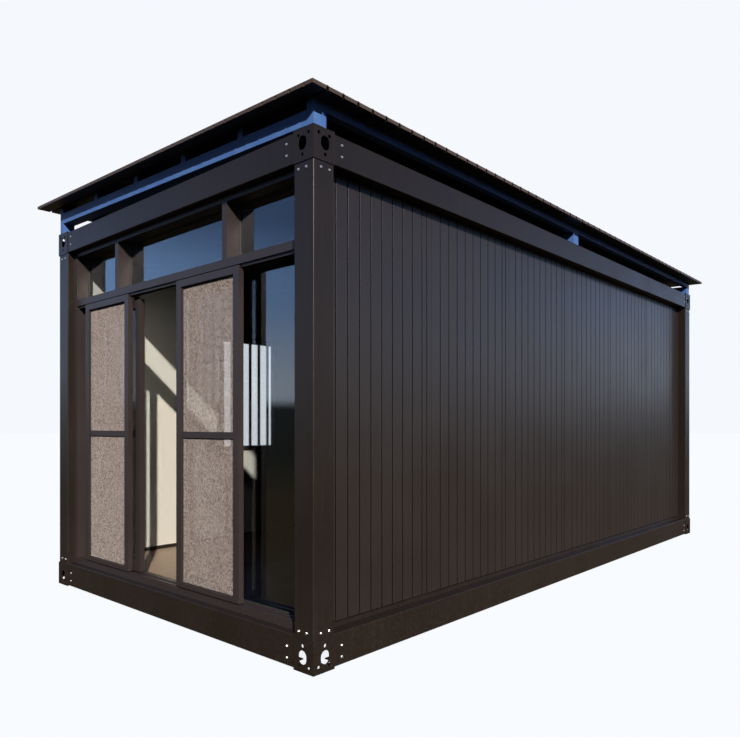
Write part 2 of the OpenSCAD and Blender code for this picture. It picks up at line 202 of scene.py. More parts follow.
FLOAT, COLOUR, VECTOR = "NodeSocketFloat", "NodeSocketColor", "NodeSocketVector"


BROAD_SHARE, FINE_SHARE = 0.7, 0.3  # weights of the large and the small noise
FINE_TIMES = 17.0  # how much finer the small noise is


def mottle_effect() -> Effect:
    """Colour that drifts between two shades by large and small noise.

    Returns:
        The group: Color is Base with Tint over it by Amount times noise; Value is the noise.
    """
    effect = Effect(
        "mottle",
        {"Base": (COLOUR, (0.5, 0.5, 0.5, 1)), "Tint": (COLOUR, (0.5, 0.5, 0.5, 1)),
         "Scale": (FLOAT, 3.0), "Amount": (FLOAT, 0.5)},
        {"Color": COLOUR, "Value": FLOAT},
    )
    g, given = effect.graph, effect.given
    place = g.place()
    broad = g.noise(place, given["Scale"], 4.0)
    fine = g.noise(place, g.math("MULTIPLY", given["Scale"], FINE_TIMES), 2.0)
    both = g.math(
        "ADD", g.math("MULTIPLY", broad, BROAD_SHARE), g.math("MULTIPLY", fine, FINE_SHARE)
    )
    share = g.math("MULTIPLY", g.smooth(both, 0.35, 0.65), given["Amount"])
    g.feed(effect.results["Color"], g.mix(share, given["Base"], given["Tint"]))
    g.feed(effect.results["Value"], both)
    return effect


def peel_effect() -> Effect:
    """Fine bump of a sprayed or woven surface.

    Returns:
        The group: Normal comes from noise of that Scale, as deep as Depth in metres.
    """
    effect = Effect(
        "peel", {"Scale": (FLOAT, 300.0), "Depth": (FLOAT, 0.0002)}, {"Normal": VECTOR}
    )
    g, given = effect.graph, effect.given
    height = g.noise(g.place(), given["Scale"], 2.0)
    bump = g.node(
        "ShaderNodeBump", {"Height": height, "Distance": given["Depth"], "Strength": 1.0}
    )
    g.feed(effect.results["Normal"], bump.outputs["Normal"])
    return effect


STREAK_SCALE = (40.0, 40.0, 1.2)  # streaks a metre on each axis, long down a face
STREAK_SHARE = 0.35  # how much streaks weigh against splashed dust


def weather_effect() -> Effect:
    """Dust splashed up from the ground and thin streaks down a face.

    Returns:
        The group: Color is Base with Dust over it, most at the ground and fading by Height.
    """
    effect = Effect(
        "weather",
        {"Base": (COLOUR, (0.5, 0.5, 0.5, 1)), "Dust": (COLOUR, (0.3, 0.25, 0.2, 1)),
         "Height": (FLOAT, 0.5), "Amount": (FLOAT, 0.3)},
        {"Color": COLOUR},
    )
    g, given = effect.graph, effect.given
    place = g.place()
    up = g.node("ShaderNodeSeparateXYZ", {0: place}).outputs["Z"]
    near_ground = g.math("SUBTRACT", 1.0, g.smooth(up, 0.0, given["Height"]))
    stretched = g.node("ShaderNodeMapping", {"Vector": place, "Scale": STREAK_SCALE}).outputs[0]
    streak = g.smooth(g.noise(stretched, 1.0, 2.0), 0.5, 0.8)
    speck = g.smooth(g.noise(place, 60.0, 4.0), 0.45, 0.75)
    splash = g.math("MULTIPLY", near_ground, speck)
    both = g.math("ADD", splash, g.math("MULTIPLY", streak, STREAK_SHARE))
    mask = g.math("MULTIPLY", both, given["Amount"])
    g.feed(effect.results["Color"], g.mix(mask, given["Base"], given["Dust"]))
    return effect


@dataclass
class Effects:
    """The shared effects, each built once."""

    mottle: Effect = field(default_factory=mottle_effect)
    peel: Effect = field(default_factory=peel_effect)
    weather: Effect = field(default_factory=weather_effect)


# ---------------------------------------------------------------- finishes

GROUND_DUST = srgb("6b5a48")
TRIM_LAP = 0.006  # how far in from the roof's end the trim's colour reaches, in metres


def new_material(
    name: str,
) -> tuple[bpy.types.Material, Graph, bpy.types.Node, bpy.types.NodeSocket]:
    """Starts a material.

    Args:
        name: The material's name.

    Returns:
        The material, its graph, its Principled shader and the output's surface socket.
    """
    material = bpy.data.materials.new(name)
    material.use_nodes = True
    material.node_tree.nodes.clear()
    graph = Graph(material.node_tree)
    shader = graph.node("ShaderNodeBsdfPrincipled")
    surface = graph.node("ShaderNodeOutputMaterial").inputs["Surface"]
    graph.feed(surface, shader.outputs[0])
    return material, graph, shader, surface


@dataclass(frozen=True)
class Paint:
    """Powder coat, anodising or zinc on metal, and moulded rubber.

    Attributes:
        name: The material's name.
        base: Main colour.
        tint: The shade it drifts to.
        roughness: Middle roughness.
        spread: How far roughness drifts either way.
        metallic: Share of bare metal.
        gloss: Level of the mirror-like share, 0.5 being that of a plain varnish.
        drift: How much tint shows.
        drift_scale: Size of the drift, in features a metre.
        peel_scale: Size of the fine bump, in features a metre.
        peel_depth: Its depth, in metres.
        dust: How much ground dust lies on it.
    """

    name: str
    base: Colour
    tint: Colour
    roughness: float = 0.4
    spread: float = 0.08
    metallic: float = 0.0
    gloss: float = 0.28
    drift: float = 0.5
    drift_scale: float = 2.0
    peel_scale: float = 420.0
    peel_depth: float = 0.00015
    dust: float = 0.25

    def colour(self, graph: Graph, effects: Effects) -> tuple[Any, Any, Any]:
        """Builds the drifting base colour.

        Args:
            graph: The material's graph.
            effects: The shared effects.

        Returns:
            The colour, the drift's value and the level of gloss.
        """
        node = effects.mottle.put(
            graph, Base=self.base, Tint=self.tint, Scale=self.drift_scale, Amount=self.drift
        )
        return node.outputs["Color"], node.outputs["Value"], self.gloss

    def material(self, effects: Effects) -> bpy.types.Material:
        """Builds the material.

        Args:
            effects: The shared effects.

        Returns:
            The finished material.
        """
        material, graph, shader, _ = new_material(self.name)
        shade, value, gloss = self.colour(graph, effects)
        dusty = effects.weather.put(graph, Base=shade, Dust=GROUND_DUST, Amount=self.dust)
        graph.feed(shader.inputs["Base Color"], dusty.outputs["Color"])
        rough = graph.node(
            "ShaderNodeMapRange",
            {"Value": value, "From Min": 0.3, "From Max": 0.7,
             "To Min": self.roughness - self.spread, "To Max": self.roughness + self.spread},
        ).outputs[0]
        graph.feed(shader.inputs["Roughness"], rough)
        shader.inputs["Metallic"].default_value = self.metallic
        graph.feed(shader.inputs["Specular IOR Level"], gloss)
        peel = effects.peel.put(graph, Scale=self.peel_scale, Depth=self.peel_depth)
        graph.feed(shader.inputs["Normal"], peel.outputs["Normal"])
        return material


@dataclass(frozen=True)
class PanelPaint(Paint):
    """Wall sheet: dark outside, with painted shade in its grooves, and cream inside the middle of
    the wall's thickness.

    Attributes:
        lining: Colour of the inner skin.
        half_x: Half width of the room's box, to the middle of the side walls.
        back_y: Distance of the middle of the rear wall behind the origin.
        face_x: Distance of the side walls' outer faces from the middle.
        face_y: Distance of the rear wall's outer face behind the origin.
        painted_groove_shade: Painted shade in the grooves, a near-black colour that stands in for
            the shade in each recess.
        groove_depth: How far below the face a groove starts to take the painted shade, in metres.
    """

    lining: Colour = (0.6, 0.55, 0.45, 1.0)
    half_x: float = 1.0
    back_y: float = 2.0
    face_x: float = 1.1
    face_y: float = 2.1
    painted_groove_shade: Colour = (0.003, 0.003, 0.003, 1.0)
    groove_depth: float = 0.0006

    def colour(self, graph: Graph, effects: Effects) -> tuple[Any, Any, Any]:
        """Builds the coat, paints shade into its grooves and takes their gloss away, then lays
        the lining inside the room's box.
        """
        shade, value, gloss = super().colour(graph, effects)
        split = graph.node("ShaderNodeSeparateXYZ", {0: graph.place()})
        across = graph.math("ABSOLUTE", split.outputs["X"])
        # Painted shade: everything below the outer face, the grooves' walls and floors among it,
        # gets a near-black colour and no gloss, standing in for the shade in the recesses.
        in_x = graph.math("LESS_THAN", across, self.face_x - self.groove_depth)
        in_y = graph.math("LESS_THAN", split.outputs["Y"], self.face_y - self.groove_depth)
        within = graph.math("MULTIPLY", in_x, in_y)
        shaded_coat = graph.mix(within, shade, self.painted_groove_shade)
        level = graph.math("MULTIPLY", graph.math("SUBTRACT", 1.0, within), gloss)
        aside = graph.math("LESS_THAN", across, self.half_x)
        behind = graph.math("LESS_THAN", split.outputs["Y"], self.back_y)
        lined = graph.mix(graph.math("MULTIPLY", aside, behind), shaded_coat, self.lining)
        return lined, value, level


@dataclass(frozen=True)
class SheetPaint(Paint):
    """Roof sheet: one colour over its faces and another on its upright edges.

    Attributes:
        edge: Colour of the upright edges.
        half_l: Distance of the trims from the middle, front to back.
    """

    edge: Colour = (0.1, 0.08, 0.07, 1.0)
    half_l: float = 3.0

    def colour(self, graph: Graph, effects: Effects) -> tuple[Any, Any, Any]:
        """Builds the coat, then lays the edge colour on the sheet's ends and on the trims."""
        shade, value, gloss = super().colour(graph, effects)
        facing = graph.node("ShaderNodeNewGeometry").outputs["True Normal"]
        aside = graph.node("ShaderNodeSeparateXYZ", {0: facing}).outputs["X"]
        end = graph.math("GREATER_THAN", graph.math("ABSOLUTE", aside), 0.5)
        along = graph.node("ShaderNodeSeparateXYZ", {0: graph.place()}).outputs["Y"]
        trim = graph.math("GREATER_THAN", graph.math("ABSOLUTE", along), self.half_l)
        return graph.mix(graph.math("MAXIMUM", end, trim), shade, self.edge), value, gloss


@dataclass(frozen=True)
class PlankFloor:
    """Vinyl planks laid along the room.

    Attributes:
        name: The material's name.
        base: Colour of most planks.
        tint: Colour of the others.
        width: Width of a plank, in metres.
        length: Length of a plank, in metres.
        seam: Colour of the seams.
        seam_w: Width of a seam, in metres.
        grain_scale: Grain lines a metre on each axis.
        grain_depth: Depth of the grain, in metres.
        roughness: Its roughness.
    """

    name: str
    base: Colour
    tint: Colour
    width: float = 0.15
    length: float = 1.2
    seam: Colour = srgb("2e2720")
    seam_w: float = 0.0015
    grain_scale: tuple[float, float, float] = (60.0, 3.0, 1.0)
    grain_depth: float = 0.0004
    roughness: float = 0.45

    def material(self, effects: Effects) -> bpy.types.Material:
        """Builds the material from a running bond of planks with a grain along them."""
        material, graph, shader, _ = new_material(self.name)
        place = graph.place()
        along = graph.node(
            "ShaderNodeMapping", {"Vector": place, "Rotation": (0.0, 0.0, math.pi / 2)}
        ).outputs[0]
        bond = graph.node(
            "ShaderNodeTexBrick",
            {"Vector": along, "Color1": self.base, "Color2": self.tint,
             "Mortar": self.seam, "Scale": 1.0, "Mortar Size": self.seam_w,
             "Brick Width": self.length, "Row Height": self.width},
        )
        grain_place = graph.node(
            "ShaderNodeMapping", {"Vector": place, "Scale": self.grain_scale}
        ).outputs[0]
        grain = graph.noise(grain_place, 2.0, 5.0)
        shade = graph.mix(graph.math("MULTIPLY", grain, 0.5), bond.outputs["Color"], self.tint)
        graph.feed(shader.inputs["Base Color"], shade)
        shader.inputs["Roughness"].default_value = self.roughness
        bump = graph.node("ShaderNodeBump", {"Height": grain, "Distance": self.grain_depth})
        graph.feed(shader.inputs["Normal"], bump.outputs["Normal"])
        return material


@dataclass(frozen=True)
class Glass:
    """Clear float glass that lets lamps through.

    Attributes:
        name: The material's name.
        tint: Colour of the light that comes through.
        sunlight: Colour of the share of a lamp's light that it lets in.
        ior: Index of refraction.
        film: Highest roughness of the film of dirt on it.
    """

    name: str
    tint: Colour
    sunlight: Colour
    ior: float = 1.65
    film: float = 0.04

    def material(self, effects: Effects) -> bpy.types.Material:
        """Builds the material; lamps see it as plain tinted clearness."""
        material, graph, shader, surface = new_material(self.name)
        rough = graph.node(
            "ShaderNodeMapRange",
            {"Value": graph.noise(graph.place(), 4.0, 3.0), "To Min": 0.0, "To Max": self.film},
        ).outputs[0]
        graph.feed(shader.inputs["Roughness"], rough)
        shader.inputs["Base Color"].default_value = self.tint
        shader.inputs["IOR"].default_value = self.ior
        shader.inputs["Transmission Weight"].default_value = 1.0
        clear = graph.node("ShaderNodeBsdfTransparent", {"Color": self.sunlight})
        lamps = graph.node("ShaderNodeLightPath").outputs["Is Shadow Ray"]
        mixed = graph.node(
            "ShaderNodeMixShader", {0: lamps, 1: shader.outputs[0], 2: clear.outputs[0]}
        )
        graph.feed(surface, mixed.outputs[0])
        return material


# ---------------------------------------------------------------- meshes


def levels(node: str, axis: Axis) -> np.ndarray:
    """Finds the separate stretches of a CAD node along one axis.

    Args:
        node: The CAD node, made of boxes that don't overlap along that axis.
        axis: The axis to read.

    Returns:
        One row of low and high for each stretch, in metres.
    """
    mesh = frame["nodes"][node].data
    co = np.empty(len(mesh.vertices) * 3, np.float32)
    mesh.vertices.foreach_get("co", co)
    values = np.unique(np.round(co.reshape(-1, 3)[:, axis].astype(float), 4))
    return values.reshape(-1, 2)


def boxes(low: np.ndarray, high: np.ndarray) -> Arrays:
    """Closed boxes, each corner taking low or high on each axis by its three bits.

    Args:
        low: Lowest corner of each box, one row each.
        high: Highest corner of each box.

    Returns:
        Vertices and outward quads of all boxes.
    """
    low, high = np.atleast_2d(low), np.atleast_2d(high)
    bits = np.array([[i & 1, (i >> 1) & 1, i >> 2] for i in range(8)])
    points = low[:, None] + bits[None] * (high - low)[:, None]
    quads = np.array(
        [[0, 2, 3, 1], [4, 5, 7, 6], [0, 1, 5, 4], [2, 6, 7, 3], [0, 4, 6, 2], [1, 3, 7, 5]]
    )
    faces = quads[None] + 8 * np.arange(len(low))[:, None, None]
    return points.reshape(-1, 3), faces.reshape(-1, 4)


def turned(profile: np.ndarray, sides: int) -> Arrays:
    """A turned shape: each profile point (radius, height) is carried round the Z axis.

    Args:
        profile: Points from the bottom centre to the top centre, the ends on the axis.
        sides: Number of steps round.

    Returns:
        Vertices and outward faces, with both poles closed by triangles.
    """
    angle = np.arange(sides) * 2 * np.pi / sides
    ring = profile[1:-1]
    points = np.stack([
        ring[:, None, 0] * np.cos(angle), ring[:, None, 0] * np.sin(angle),
        np.broadcast_to(ring[:, None, 1], (len(ring), sides)),
    ], -1).reshape(-1, 3)
    points = np.vstack([points, [[0, 0, profile[0, 1]], [0, 0, profile[-1, 1]]]])
    step, row = np.arange(sides), np.arange(len(ring) - 1)[:, None] * sides
    after = (step + 1) % sides
    walls = np.stack([row + step, row + after, row + sides + after, row + sides + step], -1)
    last = (len(ring) - 1) * sides
    bottom, top = len(points) - 2, len(points) - 1
    low = np.stack([after, step, np.full(sides, bottom), np.full(sides, bottom)], -1)
    high = np.stack([last + step, last + after, np.full(sides, top), np.full(sides, top)], -1)
    return points, np.vstack([walls.reshape(-1, 4), low, high])


def copies(shape: Arrays, places: np.ndarray, outward: np.ndarray) -> Arrays:
    """Sets copies of a shape on faces, its Z axis along each outward direction.

    The side axis is the world's Z, or X where outward is upright, crossed with outward.

    Args:
        shape: Vertices and faces of one copy.
        places: Where each copy's origin goes.
        outward: Unit direction of each copy's Z axis.

    Returns:
        Vertices and faces of all copies.
    """
    upright = np.abs(outward[:, 2:3]) > 0.9
    helper = np.where(upright, [[1.0, 0.0, 0.0]], [[0.0, 0.0, 1.0]])
    side = np.cross(helper, outward)
    side /= np.linalg.norm(side, axis=1, keepdims=True)
    turn = np.stack([side, np.cross(outward, side), outward], 1)
    points = np.einsum("vk,nkj->nvj", shape[0], turn) + places[:, None]
    faces = shape[1][None] + len(shape[0]) * np.arange(len(places))[:, None, None]
    return points.reshape(-1, 3), faces.reshape(-1, 4)


def surround(low: np.ndarray, high: np.ndarray, axis: Axis, profile: np.ndarray) -> Arrays:
    """A closed profile carried round a rectangle, with mitred corners.

    Each corner's points lie inward of the rectangle by the profile's first number on both of
    its sides, and off its plane by the second.

    Args:
        low: Lowest corner of the rectangle, a point in the row frame.
        high: Highest corner, with the same value on the plane's axis.
        axis: The axis that the rectangle faces along.
        profile: Points (inward, off the plane), in order round the profile.

    Returns:
        Vertices and quads.
    """
    u, v = [i for i in range(3) if i != axis]
    signs = np.array([[0, 0], [1, 0], [1, 1], [0, 1]])
    corners = np.where(signs == 1, high[[u, v]], low[[u, v]])
    inward = 1 - 2 * signs
    points = np.zeros((4, len(profile), 3))
    points[:, :, [u, v]] = corners[:, None] + inward[:, None] * profile[None, :, :1]
    points[:, :, axis] = low[axis] + profile[:, 1]
    i, k = np.arange(4)[:, None], np.arange(len(profile))[None]
    j, m = (i + 1) % 4, (k + 1) % len(profile)
    size = len(profile)
    quads = np.stack([i * size + k, j * size + k, j * size + m, i * size + m], -1)
    return points.reshape(-1, 3), quads.reshape(-1, 4)


def joined(parts: Iterable[Arrays]) -> Arrays:
    """Joins several sets of vertices and faces into one."""
    points, faces, start = [], [], 0
    for some, quads in parts:
        points.append(some)
        faces.append(quads + start)
        start += len(some)
    return np.vstack(points), np.vstack(faces)


def piece(
    name: str, arrays: Arrays, finish: bpy.types.Material, body: str
) -> bpy.types.Object:
    """Makes an object of the CAD frame from arrays.

    Args:
        name: The piece's name.
        arrays: Vertices and quads, a triangle being a quad that repeats its last vertex.
        finish: Its material.
        body: The CAD body that it rides on.

    Returns:
        The object, at the origin, riding on its body.
    """
    points, quads = arrays
    faces = [q[:3] if q[2] == q[3] else q for q in quads.tolist()]
    mesh = bpy.data.meshes.new(name)
    mesh.from_pydata(points.tolist(), [], faces)
    mesh.update()
    made = bpy.data.objects.new(name, mesh)
    bpy.context.scene.collection.objects.link(made)
    mesh.materials.append(finish)
    outward(made)
    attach(made, body)
    log.info("%s: %d faces on %s", name, len(faces), body)
    return made


def outward(made: bpy.types.Object) -> None:
    """Turns a closed mesh's faces outwards, each shell by itself."""
    shell = bmesh.new()
    shell.from_mesh(made.data)
    bmesh.ops.recalc_face_normals(shell, faces=shell.faces)
    shell.to_mesh(made.data)
    shell.free()


# ---------------------------------------------------------------- the cabin


@dataclass
class Finishes:
    """Every finish of the cabin, as built materials by slot, and the small parts' own."""

    effects: Effects = field(default_factory=Effects)
    by_slot: dict[Slot, bpy.types.Material] = field(default_factory=dict)
    zinc: bpy.types.Material = None
    rubber: bpy.types.Material = None
    shaded_glass: bpy.types.Material = None

    def build(self) -> None:
        """Builds each material once."""
        wall_low, wall_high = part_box("right_wall")
        rear_low, rear_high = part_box("rear_wall")
        trim_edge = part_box("roof_edge_trims")[1].y
        chosen = {
            Slot.FRAME_STEEL: Paint(
                "frame_coat", srgb("181310"), srgb("1d1713"), roughness=0.36, gloss=0.2,
                dust=0.04),
            Slot.WALL_PANEL: PanelPaint(
                "panel_coat", srgb("1e1917"), srgb("221d1a"), roughness=0.32, spread=0.05,
                peel_scale=260.0, peel_depth=0.0001, dust=0.03,
                lining=srgb("908c84"),
                half_x=(wall_low.x + wall_high.x) / 2, back_y=(rear_low.y + rear_high.y) / 2,
                face_x=wall_high.x, face_y=rear_high.y),
            Slot.GLAZING_FRAME: Paint(
                "bronze_frame", srgb("27201f"), srgb("2c2524"), roughness=0.4, metallic=0.15,
                dust=0.04),
            Slot.ROOF_STEEL: Paint(
                "blue_tube", srgb("324d7d"), srgb("3d5886"), roughness=0.5, drift=0.8,
                drift_scale=9.0, peel_depth=0.0003, dust=0.0),
            Slot.ROOF_SHEET: SheetPaint(
                "roof_coat", srgb("130f0e"), srgb("171312"), roughness=0.5, dust=0.0,
                edge=srgb("372c25"), half_l=trim_edge - TRIM_LAP),
            Slot.FLOOR_BOARD: PlankFloor("vinyl_planks", srgb("7d6b59"), srgb("6a594a")),
            Slot.CEILING_BOARD: Paint(
                "ceiling_coat", srgb("8a8379"), srgb("80796f"), roughness=0.6, dust=0.0),
            Slot.GLASS: Glass("float_glass", (0.93, 0.955, 0.97, 1.0), (0.93, 0.955, 0.97, 1.0)),
            Slot.FLY_MESH: Paint(
                "mesh_yarn", srgb("8e837f"), srgb("4a423e"), roughness=0.75, drift=1.0,
                drift_scale=110.0, peel_depth=0.0001, dust=0.0),
        }
        self.by_slot = {slot: finish.material(self.effects) for slot, finish in chosen.items()}
        self.zinc = Paint(
            "zinc", srgb("c9c9c6"), srgb("a9a9a6"), roughness=0.3, metallic=0.9, dust=0.0,
            drift_scale=60.0).material(self.effects)
        self.rubber = Paint(
            "black_rubber", srgb("161514"), srgb("1f1d1c"), roughness=0.7,
            dust=0.05).material(self.effects)
        self.shaded_glass = Glass(
            "shaded_glass", (0.87, 0.89, 0.90, 1.0), (0.10, 0.10, 0.10, 1.0)
        ).material(self.effects)

    def dress(self) -> None:
        """Gives every CAD node the material of its record slot, and the fixed pane its own."""
        slots = {row["node"]: Slot(row["material_slot"]) for row in frame["record"]["subparts"]}
        for name, node in frame["nodes"].items():
            node.data.materials.clear()
            node.data.materials.append(self.by_slot[slots[name]])
        frame["nodes"]["fixed_glass"].data.materials[0] = self.shaded_glass
        log.info("dressed %d CAD nodes", len(slots))


@dataclass
class FrameBolts:
    """Hex bolts that join the posts and beams to the corner fittings.

    Attributes:
        head_r: Corner radius of a head.
        head_h: Height of a head.
        washer_r: Radius of a washer.
        washer_h: Thickness of a washer.
        post_columns: Distances of a post's two bolts from the corner of the frame.
        post_end: Distance of a post's bolts from its end.
        beam_end: Distance of a beam's bolts from its end.
        chamfer: Height and width of the bevel round a head's top.
        beam_rows: Heights of a beam's two bolts, as shares of the beam's depth.
    """

    head_r: float = 0.0065
    head_h: float = 0.004
    washer_r: float = 0.008
    washer_h: float = 0.0015
    chamfer: float = 0.0008
    post_columns: tuple[float, float] = (0.057, 0.117)
    post_end: float = 0.034
    beam_end: float = 0.058
    beam_rows: dict[str, tuple[float, float]] = field(
        default_factory=lambda: {"base": (0.24, 0.59), "top": (0.34, 0.72)})

    def shape(self) -> Arrays:
        """A washer and a hexagonal head with a chamfered top, turned in six steps."""
        top = self.washer_h + self.head_h
        profile = np.array([
            [0, 0], [self.washer_r, 0], [self.washer_r, self.washer_h],
            [self.head_r, self.washer_h], [self.head_r, top - self.chamfer],
            [self.head_r - self.chamfer, top], [0, top],
        ])
        return turned(profile, 6)

    def on_posts(self) -> Arrays:
        """Two bolts near each end of each outer face of each post."""
        places, facing = [], []
        corner = np.array(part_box("base_corner_fittings")[1])
        for name in ("front_left_post", "front_right_post", "rear_left_post", "rear_right_post"):
            low, high = (np.array(c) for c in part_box(name))
            sign = np.sign(low + high)
            for axis, across in ((Axis.X, Axis.Y), (Axis.Y, Axis.X)):
                face = high[axis] if sign[axis] > 0 else low[axis]
                normal = np.zeros(3)
                normal[axis] = sign[axis]
                for column in self.post_columns:
                    for height in (low[2] + self.post_end, high[2] - self.post_end):
                        spot = np.zeros(3)
                        spot[axis] = face
                        spot[across] = sign[across] * (corner[across] - column)
                        spot[2] = height
                        places.append(spot)
                        facing.append(normal)
        return copies(self.shape(), np.array(places), np.array(facing))

    def on_beams(self) -> Arrays:
        """A pair of bolts, one over the other, near each end of each beam."""
        places, facing = [], []
        for level in ("base", "top"):
            for side in ("front", "rear", "left", "right"):
                low, high = (np.array(c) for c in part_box(f"{level}_{side}_beam"))
                axis = Axis.Y if side in ("front", "rear") else Axis.X
                across = Axis.X if axis is Axis.Y else Axis.Y
                sign = np.sign(low + high)[axis]
                normal = np.zeros(3)
                normal[axis] = sign
                for end in (low[across] + self.beam_end, high[across] - self.beam_end):
                    for row in self.beam_rows[level]:
                        spot = np.zeros(3)
                        spot[axis] = high[axis] if sign > 0 else low[axis]
                        spot[across] = end
                        spot[2] = low[2] + row * (high[2] - low[2])
                        places.append(spot)
                        facing.append(normal)
        return copies(self.shape(), np.array(places), np.array(facing))

    def build(self, finishes: Finishes) -> None:
        """Makes the two sets of bolts."""
        piece("post_bolts", self.on_posts(), finishes.zinc, "cabin")
        piece("beam_bolts", self.on_beams(), finishes.zinc, "cabin")


@dataclass
class RoofScrews:
    """Self-drilling screws through the roof ribs into the purlins.

    Attributes:
        washer_r: Radius of the rubber-backed washer.
        washer_h: Thickness of the washer.
        head_r: Corner radius of the head.
        head_h: Height of the head over the washer.
        sunk: How far the washer is pressed into the rib.
        taper: Radius of the washer's top, as a share of washer_r.
        near: Width of the strip at each side edge whose tops give the roof's slope.
        rib_pitch: Distance between the roof's ribs.
    """

    washer_r: float = 0.008
    washer_h: float = 0.0015
    head_r: float = 0.0048
    head_h: float = 0.0035
    sunk: float = 0.001
    taper: float = 0.9
    near: float = 0.01
    rib_pitch: float = 0.112

    def build(self, finishes: Finishes) -> None:
        """Sets a screw on every second rib over each purlin, square to the slope."""
        mesh = frame["nodes"]["roof_sheet"].data
        co = np.empty(len(mesh.vertices) * 3, np.float32)
        mesh.vertices.foreach_get("co", co)
        co = co.reshape(-1, 3).astype(float)
        low, high = co.min(0), co.max(0)
        near_low, near_high = co[:, 0] < low[0] + self.near, co[:, 0] > high[0] - self.near
        left_top, right_top = co[near_low, 2].max(), co[near_high, 2].max()
        slope = (left_top - right_top) / (high[0] - low[0])
        count = int((high[1] - low[1]) / self.rib_pitch) - 1
        ribs = (np.arange(0, count, 2) - (count - 1) / 2) * self.rib_pitch
        across = levels("roof_purlins", Axis.X).mean(axis=1)
        x, y = (grid.ravel() for grid in np.meshgrid(across, ribs))
        places = np.stack([x, y, right_top + (high[0] - x) * slope - self.sunk], -1)
        up = np.array([slope, 0.0, 1.0]) / math.hypot(slope, 1.0)
        top = self.washer_h + self.head_h
        profile = np.array([
            [0, 0], [self.washer_r, 0], [self.washer_r * self.taper, self.washer_h],
            [self.head_r, self.washer_h], [self.head_r, top], [0, top],
        ])
        arrays = copies(turned(profile, 6), places, np.repeat(up[None], len(places), 0))
        piece("roof_screws", arrays, finishes.zinc, "cabin")


@dataclass
class FlyMesh:
    """Woven mesh of one fly screen, in the two lights over and under its mid rail.

    Attributes:
        side: Which screen, left or right.
        pitch: Distance between yarns.
        yarn: Thickness of a yarn.
        edge: Width of the rubber bead that holds the mesh.
    """

    side: str
    pitch: float = 0.0034
    yarn: float = 0.0008
    edge: float = 0.005

    def build(self, finishes: Finishes) -> None:
        """Lays upright yarns over level ones in each light, and a bead round it."""
        node = f"{self.side}_screen_mesh"
        low, high = (np.array(c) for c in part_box(node))
        middle = (low[1] + high[1]) / 2
        yarns, beads = [], []
        for bottom, top in levels(node, Axis.Z):
            x = np.arange(low[0] + self.pitch / 2, high[0], self.pitch)
            z = np.arange(bottom + self.pitch / 2, top, self.pitch)
            half = self.yarn / 2
            ones = np.ones_like(x)
            yarns.append(boxes(
                np.stack([x - half, ones * middle - self.yarn, ones * bottom], -1),
                np.stack([x + half, ones * middle, ones * top], -1)))
            ones = np.ones_like(z)
            yarns.append(boxes(
                np.stack([ones * low[0], ones * middle, z - half], -1),
                np.stack([ones * high[0], ones * middle + self.yarn, z + half], -1)))
            beads.append(surround(
                np.array([low[0], middle, bottom]), np.array([high[0], middle, top]), Axis.Y,
                bead_profile(self.edge, self.edge)))
        body = f"{self.side}_screen"
        woven = piece(f"{self.side}_fly_mesh", joined(yarns), finishes.by_slot[Slot.FLY_MESH],
                      body)
        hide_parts(node)
        piece(f"{self.side}_mesh_bead", joined(beads), finishes.rubber, body)


def bead_profile(width: float, depth: float, steps: int = 5) -> np.ndarray:
    """A quarter round: along the frame, along the pane, and the arc between them.

    Args:
        width: How far it reaches over the pane.
        depth: How far it stands off the pane, towards the lower side of the axis.
        steps: Number of steps in the arc.

    Returns:
        Points (inward, off the pane) in order.
    """
    angle = np.linspace(0, np.pi / 2, steps + 1)
    arc = np.stack([width * np.cos(angle), -depth * np.sin(angle)], -1)
    return np.vstack([[[0.0, 0.0]], arc])


@dataclass
class GlazingBeads:
    """Rubber beads that hold the panes, one round each pane on each face.

    Attributes:
        width: How far a bead reaches over the glass.
        depth: How far it stands off the glass.
    """

    width: float = 0.007
    depth: float = 0.008

    def round_pane(self, low: np.ndarray, high: np.ndarray, axis: Axis) -> Arrays:
        """Beads on both faces of a pane.

        Args:
            low: The pane's lowest corner.
            high: The pane's highest corner.
            axis: The axis that it faces along.

        Returns:
            Vertices and faces of both beads.
        """
        profile = bead_profile(self.width, self.depth)
        near, far = high.copy(), low.copy()
        near[axis], far[axis] = low[axis], high[axis]
        first = surround(low, near, axis, profile)
        second = surround(far, high, axis, profile * [1, -1])
        return joined([first, second])

    def build(self, finishes: Finishes) -> None:
        """Beads every pane, in one piece for each body and opening."""
        rubber = finishes.rubber
        for node in ("transom_glass", "fixed_glass", "left_leaf_glass", "right_leaf_glass"):
            low, high = (np.array(c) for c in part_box(node))
            panes = []
            for left, right in levels(node, Axis.X):
                a, b = low.copy(), high.copy()
                a[0], b[0] = left, right
                panes.append(self.round_pane(a, b, Axis.Y))
            body = node.removesuffix("_glass") if "leaf" in node else "cabin"
            piece(node.replace("glass", "beads"), joined(panes), rubber, body)
        low, high = (np.array(c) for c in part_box("side_window_glass"))
        piece("side_window_beads", self.round_pane(low, high, Axis.X), rubber, "cabin")


